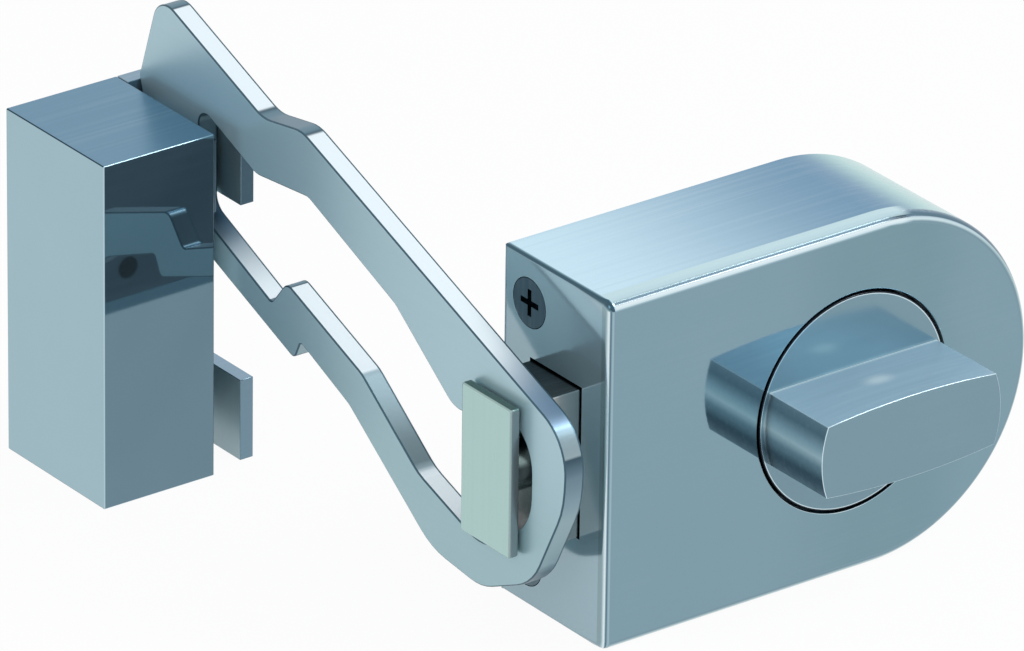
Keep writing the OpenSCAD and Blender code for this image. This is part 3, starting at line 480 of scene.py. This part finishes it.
# Where a material's three face colours differ, the differences are painted light and shade: each facing is
# given the brightness it shows under the light
finish_of("case_steel", "case_polished_steel",
          faces=(srgb(158, 184, 194), srgb(128, 157, 170), srgb(168, 200, 217)),
          rough=(0.10, 0.045, 0.20), streak=(0.04, 0.03, 0.3), cloud=0.03,
          metal=(0.6, 1.0, 1.0), extra=case_tone_and_painted_light, rim=case_rim_painted_light)
finish_of("knob_steel", "knob_brushed_steel",
          faces=(srgb(196, 210, 216), srgb(122, 151, 163), srgb(166, 196, 214)),
          rough=(0.34, 0.14, 0.30), streak=(0.3, 0.03, 0.4), wear=srgb(214, 234, 242), cloud=0.03,
          metal=(0.9, 0.75, 0.35), extra=grip_painted_light, rim=knob_ring)
finish_of("strike_cover_steel", "strike_cover_steel",
          faces=(srgb(156, 184, 194), srgb(106, 133, 147), srgb(100, 140, 166)),
          rough=(0.12, 0.03, 0.30), streak=(0.03, 0.0, 0.22), cloud=0.03,
          metal=(1.0, 0.85, 1.0), rim=strike_rim)
finish_of("strike_steel", "strike_body_steel",
          faces=(srgb(150, 172, 178), srgb(116, 144, 160), srgb(128, 156, 176)),
          rough=(0.36, 0.14, 0.20), streak=(0.1, 0.1, 0.3), wear=srgb(110, 136, 150),
          metal=(0.7, 0.6, 1.0))
finish_of("stirrup_steel", "stirrup_polished_steel",
          faces=(srgb(176, 204, 213), srgb(140, 166, 180), srgb(206, 228, 237)),
          rough=(0.34, 0.35, 0.35), streak=(0.06, 0.0, 0.0), lay="y", cloud=0.03,
          metal=(0.6, 0.7, 0.7), extra=stirrup_drift, rim=stirrup_rim)
finish_of("plate_steel", "plate_steel",
          faces=each(srgb(92, 106, 114)), rough=each(0.34), streak=each(0.2))
finish_of("screw_steel", "screw_steel",
          faces=each(srgb(84, 103, 114)), rough=each(0.28), streak=each(0.12), lay="z", cloud=0.1)
finish_of("t_head_nickel", "t_head_nickel",
          faces=(srgb(172, 202, 199), srgb(142, 156, 160), srgb(92, 114, 108)),
          rough=(0.28, 0.3, 0.28), streak=each(0.12), lay="z", wear=srgb(150, 174, 172),
          metal=(1.0, 0.6, 1.0), extra=t_head_neck)
finish_of("bolt_steel", "bolt_grey_steel",
          faces=(srgb(110, 112, 112), srgb(172, 176, 176), srgb(70, 75, 76)),
          rough=(0.30, 0.24, 0.26), streak=each(0.3), wear=srgb(190, 200, 202))
finish_of("bush_bronze", "bush_bronze",
          faces=each(srgb(168, 140, 92)), rough=each(0.32), streak=each(0.4))
finish_of("spring_steel", "spring_steel",
          faces=each(srgb(84, 90, 96)), rough=each(0.30), streak=each(0.3))
finish_of("pin_steel", "pin_steel",
          faces=each(srgb(140, 160, 170)), rough=each(0.2), streak=each(0.4))
finish_of("pinion_brass", "pinion_brass",
          faces=each(srgb(178, 160, 104)), rough=each(0.3), streak=each(0.3))
finish_of("washer_plastic", "washer_plastic",
          faces=each(srgb(40, 42, 44)), rough=each(0.5), streak=each(0.2))

# Pieces whose finish and painted light and shade differ from the rest of their slot
own = {"turn_knob": "knob_steel", "strike_cover": "strike_cover_steel"}
for name, o in nodes.items():
    wanted = own.get(name, o.material_slots[0].material.name)
    o.material_slots[0].material = materials[wanted]


# Edges of the CAD nodes

FLAT_ANGLE = math.radians(0.3)
CREASE_DEGREES = 32.0


class Steps:
    """Short names for building one geometry node tree."""

    def __init__(self, name):
        self.tree = bpy.data.node_groups.new(name, "GeometryNodeTree")
        self.tree.interface.new_socket("Geometry", in_out="INPUT", socket_type="NodeSocketGeometry")
        self.tree.interface.new_socket("Geometry", in_out="OUTPUT", socket_type="NodeSocketGeometry")
        self.last = self.node("NodeGroupInput").outputs[0]

    def node(self, kind, **settings):
        made = self.tree.nodes.new(kind)
        for key, value in settings.items():
            setattr(made, key, value)
        return made

    def step(self, kind, inputs=(), **settings):
        made = self.node(kind, **settings)
        self.tree.links.new(self.last, made.inputs[0])
        for key, value in inputs:
            self.feed(made.inputs[key], value)
        self.last = made.outputs[0]

    def feed(self, socket, value):
        if isinstance(value, bpy.types.NodeSocket):
            self.tree.links.new(value, socket)
        else:
            socket.default_value = value

    def math(self, operation, a, b=0.0):
        made = self.node("ShaderNodeMath", operation=operation)
        self.feed(made.inputs[0], a)
        self.feed(made.inputs[1], b)
        return made.outputs[0]

    def sharper_than(self, degrees, outward=False):
        angle = self.node("GeometryNodeInputMeshEdgeAngle").outputs[1 if outward else 0]
        return self.math("GREATER_THAN", angle, math.radians(degrees))

    def on(self, o):
        self.tree.links.new(self.last, self.node("NodeGroupOutput").inputs[0])
        made = o.modifiers.new(self.tree.name, "NODES")
        made.node_group = self.tree


# How close an edge's middle lies to the case's bolt face, front and top to be rounded wide, and the
# share of that width on the level edges
WIDE_BY_BOLT_FACE, WIDE_BY_FRONT, WIDE_BY_TOP = 0.5 * MM, 2.5 * MM, 0.1 * MM
WIDE_LEVEL_SHARE = 0.9


def case_front_end(steps):
    """1 down the case's front corner at its bolt face, less along the other outer edges there, else 0."""
    middle = steps.node("GeometryNodeInputPosition").outputs[0]
    parts = steps.node("ShaderNodeSeparateXYZ")
    steps.feed(parts.inputs[0], middle)
    x, y, z = parts.outputs
    at_top = steps.math("GREATER_THAN", steps.math("ABSOLUTE", z), CASE_TOP_Z - WIDE_BY_TOP)
    at_front = steps.math("LESS_THAN", y, CASE_FRONT_Y + WIDE_BY_FRONT)
    rim = steps.math("MAXIMUM", at_front, steps.math("MULTIPLY", at_top, WIDE_LEVEL_SHARE))
    return steps.math("MULTIPLY", rim, steps.math("LESS_THAN", x, BOLT_FACE_X + WIDE_BY_BOLT_FACE))


def rounded(name, width, segments=3, angle=50.0, wide=None, most=0.0, weld=0.004):
    """Rounds a node's edges that are sharper than angle with modifiers, to width in mm, or to most where
    wide says so. Points closer than weld are joined first. The node's own mesh stays as it came."""
    o = nodes[name]
    clean = Steps(name + "_clean")
    for attribute in ("custom_normal", "sharp_edge", "sharp_face"):
        clean.step("GeometryNodeRemoveAttribute", [("Name", attribute)])
    clean.step("GeometryNodeMergeByDistance", [("Distance", weld * MM)])
    clean.step("GeometryNodeSetShadeSmooth")
    clean.on(o)
    join = o.modifiers.new("join_flat_faces", "DECIMATE")
    join.decimate_type = "DISSOLVE"
    join.angle_limit = FLAT_ANGLE
    weigh = Steps(name + "_weigh")
    biggest = max(width, most)
    share = width / biggest
    if wide:
        share = weigh.math("MAXIMUM", wide(weigh), share)
    weight = weigh.math("MULTIPLY", weigh.sharper_than(angle, outward=True), share)
    weigh.step("GeometryNodeStoreNamedAttribute", [("Name", "bevel_weight_edge"), ("Value", weight)],
               data_type="FLOAT", domain="EDGE")
    weigh.on(o)
    bevel = o.modifiers.new("bevel", "BEVEL")
    bevel.width = biggest * MM
    bevel.segments = segments
    bevel.limit_method = "WEIGHT"
    bevel.use_clamp_overlap = False
    crease = Steps(name + "_crease")
    creased = [("Selection", crease.sharper_than(CREASE_DEGREES)), ("Shade Smooth", False)]
    crease.step("GeometryNodeSetShadeSmooth", creased, domain="EDGE")
    crease.on(o)
    even_out = o.modifiers.new("even_out", "WEIGHTED_NORMAL")
    even_out.keep_sharp = True
    even_out.weight = 100


rounded("case_cover", 0.25, segments=4, wide=case_front_end, most=1.5)
rounded("strike_cover", 0.3)
rounded("strike_body", 0.2)
rounded("stirrup", 0.35, weld=0.02)
rounded("t_head", 0.5)
rounded("turn_knob", 0.2, angle=30.0)
rounded("bolt", 0.3)
rounded("hinge_pin", 0.3, angle=30.0)


# Floor and world

FLOOR_Z = -0.04
FLOOR_GAP = 0.03 * MM
FLOOR_HALF = 3.0
FLOOR_WHITE = 0.95
PALE_FLOOR, PALER_FLOOR, FLOOR_CLOUDS = (0.80, 0.81, 0.82), (0.84, 0.845, 0.85), 3.0
WHITE = (1.0, 1.0, 1.0, 1.0)
SOFT_LIGHT, SOFT_STRENGTH = (0.93, 0.97, 1.0, 1.0), 0.62


def seen_share(tree):
    """1 where the camera or a mirroring surface looks at it, and 0 where it only gives light."""
    path = tree.nodes.new("ShaderNodeLightPath")
    seen = path.outputs["Is Camera Ray"]
    for other in ("Is Glossy Ray", "Is Transmission Ray"):
        both = tree.nodes.new("ShaderNodeMath")
        both.operation = "MAXIMUM"
        tree.links.new(seen, both.inputs[0])
        tree.links.new(path.outputs[other], both.inputs[1])
        seen = both.outputs[0]
    return seen


def mixed_shader(tree, factor, a, b, out):
    mix = tree.nodes.new("ShaderNodeMixShader")
    for socket, source in zip(mix.inputs, (factor, a, b)):
        tree.links.new(source, socket)
    tree.links.new(mix.outputs[0], out)


def glow(tree, kind, colour, strength):
    made = tree.nodes.new(kind)
    made.inputs["Color"].default_value = colour
    made.inputs["Strength"].default_value = strength
    return made.outputs[0]


corners = [(-FLOOR_HALF, -FLOOR_HALF, 0), (FLOOR_HALF, -FLOOR_HALF, 0),
           (FLOOR_HALF, FLOOR_HALF, 0), (-FLOOR_HALF, FLOOR_HALF, 0)]
floor_mesh = bpy.data.meshes.new("floor")
floor_mesh.from_pydata(corners, [], [(0, 1, 2, 3)])
floor = bpy.data.objects.new("floor", floor_mesh)
floor.location = (0.0, 0.0, FLOOR_Z - FLOOR_GAP)
scene.collection.objects.link(floor)

# The floor is mostly white where it is seen, so that only the object's shadow shows on it
ground = Graph("floor_pale")
floor_spot = ground.node("ShaderNodeTexCoord").outputs["Object"]
plain = ground.node("ShaderNodeBsdfDiffuse")
ground.link(ground.mix(ground.noise(floor_spot, FLOOR_CLOUDS), PALE_FLOOR, PALER_FLOOR), plain.inputs[0])
white = glow(ground.tree, "ShaderNodeEmission", WHITE, 1.0)
share = ground.math("MULTIPLY", seen_share(ground.tree), FLOOR_WHITE)
mixed_shader(ground.tree, share, plain.outputs[0], white, ground.out.inputs[0])
floor_mesh.materials.append(ground.mat)

# The world is white where it is seen, and gives a softer, cooler light
world = bpy.data.worlds.new("studio")
world.use_nodes = True
scene.world = world
sky = world.node_tree
sky.nodes.clear()
world_out = sky.nodes.new("ShaderNodeOutputWorld")
soft = glow(sky, "ShaderNodeBackground", SOFT_LIGHT, SOFT_STRENGTH)
bright = glow(sky, "ShaderNodeBackground", WHITE, 1.0)
mixed_shader(sky, seen_share(sky), soft, bright, world_out.inputs[0])


# Lamps

TARGET = Vector((-0.01, 0.0, 0.0))
KEY_WAY = Vector((0.54, -0.44, 0.72))
KEY_FAR = 0.9


def lamp(name, at, size, power, colour):
    """A square lamp of size metres that looks at TARGET."""
    data = bpy.data.lights.new(name, "AREA")
    data.energy = power
    data.color = colour
    data.shape = "RECTANGLE"
    data.size = size
    data.size_y = size
    o = bpy.data.objects.new(name, data)
    o.location = at
    o.rotation_mode = "QUATERNION"
    o.rotation_quaternion = (TARGET - at).to_track_quat("-Z", "Y")
    scene.collection.objects.link(o)


lamp("key", TARGET + KEY_WAY * KEY_FAR, size=0.30, power=3.2, colour=(0.97, 0.99, 1.0))
lamp("left_fill", Vector((-0.9, -0.5, 0.7)), size=0.5, power=2.2, colour=(0.95, 0.98, 1.0))


# Camera

AZIMUTH, ELEVATION, ROLL = (math.radians(v) for v in (-37.1034, 25.6827, 0.8394))
AIM = Vector((-0.030, 0.030, 0.0))
FAR = 2.5596
PIXELS_PER_MM = 4.7438
AIM_PIXEL = (547.43, 325.08)
IMAGE = (1024, 651)
SENSOR_MM = 36.0
CLIP_START, CLIP_END = 0.1, 50.0

outward = math.cos(ELEVATION)
back = Vector((math.sin(AZIMUTH) * outward, -math.cos(AZIMUTH) * outward, math.sin(ELEVATION)))
level_right = Vector((math.cos(AZIMUTH), math.sin(AZIMUTH), 0.0))
level_up = back.cross(level_right)
right = level_right * math.cos(ROLL) + level_up * math.sin(ROLL)
up = level_up * math.cos(ROLL) - level_right * math.sin(ROLL)
place = AIM + back * FAR

camera_data = bpy.data.cameras.new("camera")
camera = bpy.data.objects.new("camera", camera_data)
camera.matrix_world = Matrix(((right.x, up.x, back.x, place.x), (right.y, up.y, back.y, place.y),
                              (right.z, up.z, back.z, place.z), (0, 0, 0, 1)))
camera_data.sensor_width = SENSOR_MM
camera_data.sensor_fit = "HORIZONTAL"
camera_data.lens = PIXELS_PER_MM * FAR / MM * SENSOR_MM / IMAGE[0]
camera_data.shift_x = (IMAGE[0] / 2 - AIM_PIXEL[0]) / IMAGE[0]
camera_data.shift_y = (AIM_PIXEL[1] - IMAGE[1] / 2) / IMAGE[0]
camera_data.clip_start = CLIP_START
camera_data.clip_end = CLIP_END
camera_data.dof.use_dof = False
scene.collection.objects.link(camera)
scene.camera = camera
scene.view_settings.view_transform = "Standard"
